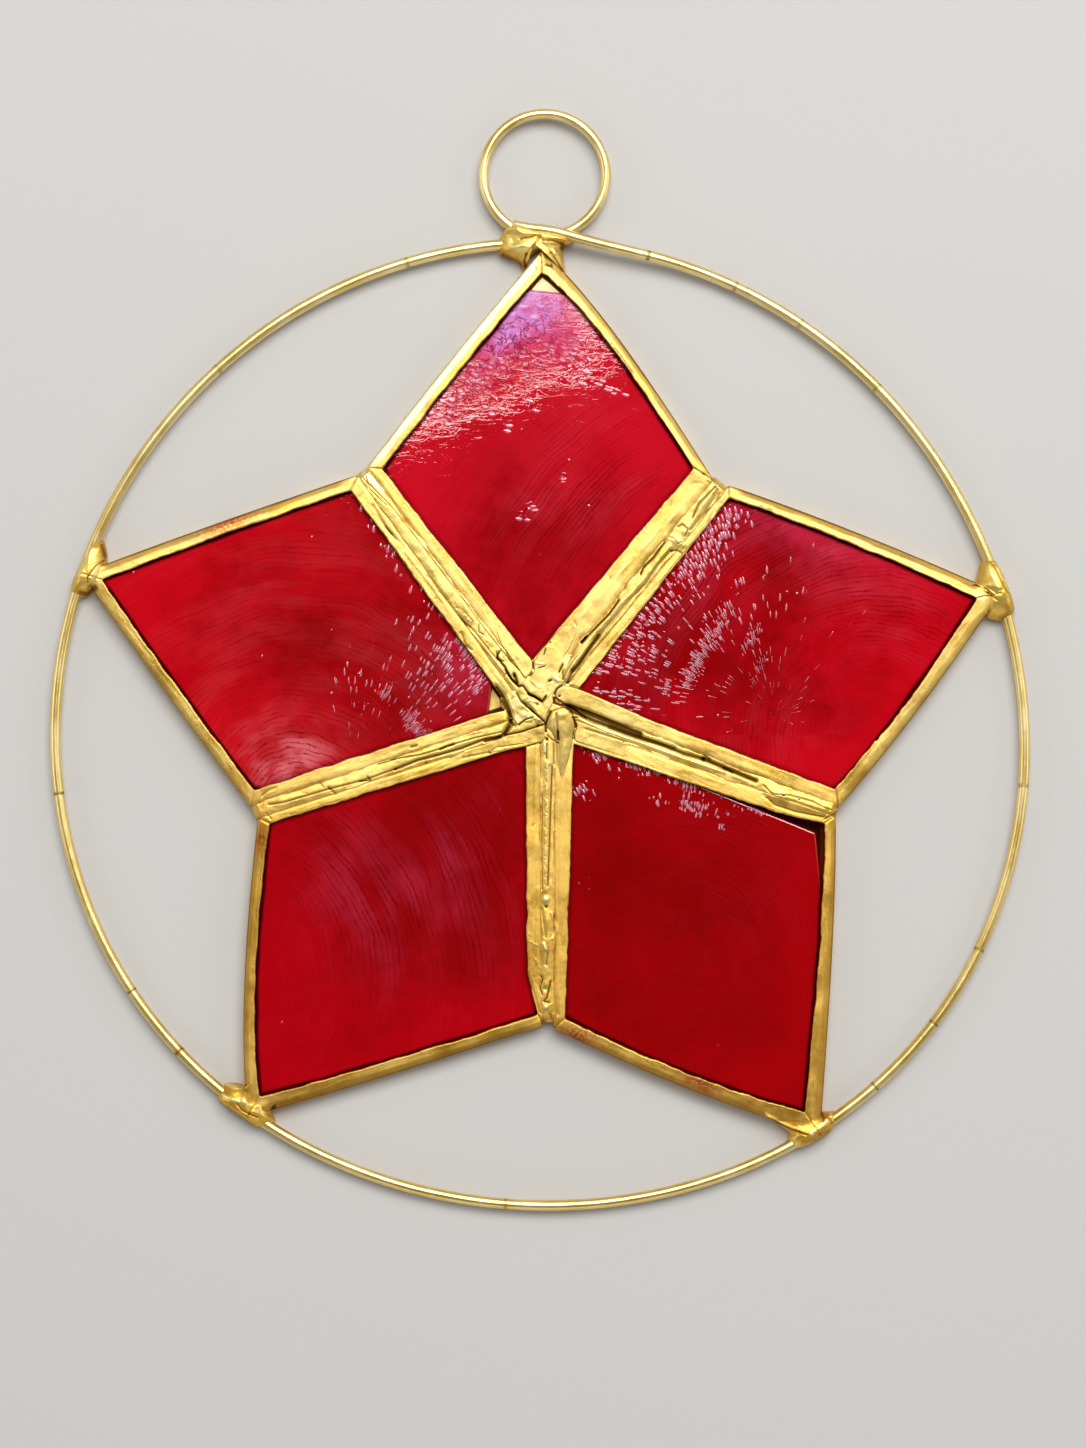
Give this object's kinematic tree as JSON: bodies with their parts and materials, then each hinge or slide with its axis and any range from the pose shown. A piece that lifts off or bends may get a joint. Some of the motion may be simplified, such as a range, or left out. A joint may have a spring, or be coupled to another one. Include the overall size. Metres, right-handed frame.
{
  "type": "capiz star ornament",
  "caption": "Flat star of dyed shell panes in folded brass frames, soldered inside a wire hoop with a small hanging ring.",
  "frame": {"origin": "middle of the hoop, on the plane that the back of the ornament rests on", "axes": "+Z out of the front, +Y towards the hanging ring, +X to the right seen from the front"},
  "size_m": [0.1099, 0.1236, 0.0033],
  "materials": {
    "brass_wire": "bright drawn brass wire",
    "brass_strip": "brushed gilt strip with small wrinkles",
    "gilt_solder": "smooth gilded solder",
    "dyed_shell": "lacquered crimson shell"
  },
  "bodies": {
    "root": {"hoop": "brass_wire", "hanging_ring": "brass_wire", "pane_top": "dyed_shell", "pane_right": "dyed_shell", "pane_lower_right": "dyed_shell", "pane_lower_left": "dyed_shell", "pane_left": "dyed_shell", "frame_top": "brass_strip", "frame_right": "brass_strip", "frame_lower_right": "brass_strip", "frame_lower_left": "brass_strip", "frame_left": "brass_strip", "tip_solder_top": "gilt_solder", "tip_solder_right": "gilt_solder", "tip_solder_lower_right": "gilt_solder", "tip_solder_lower_left": "gilt_solder", "tip_solder_left": "gilt_solder", "seam_bead_upper_right": "gilt_solder", "seam_bead_lower_right": "gilt_solder", "seam_bead_lower": "gilt_solder", "seam_bead_lower_left": "gilt_solder", "seam_bead_upper_left": "gilt_solder", "hub_solder": "gilt_solder"}
  },
  "joints": []
}
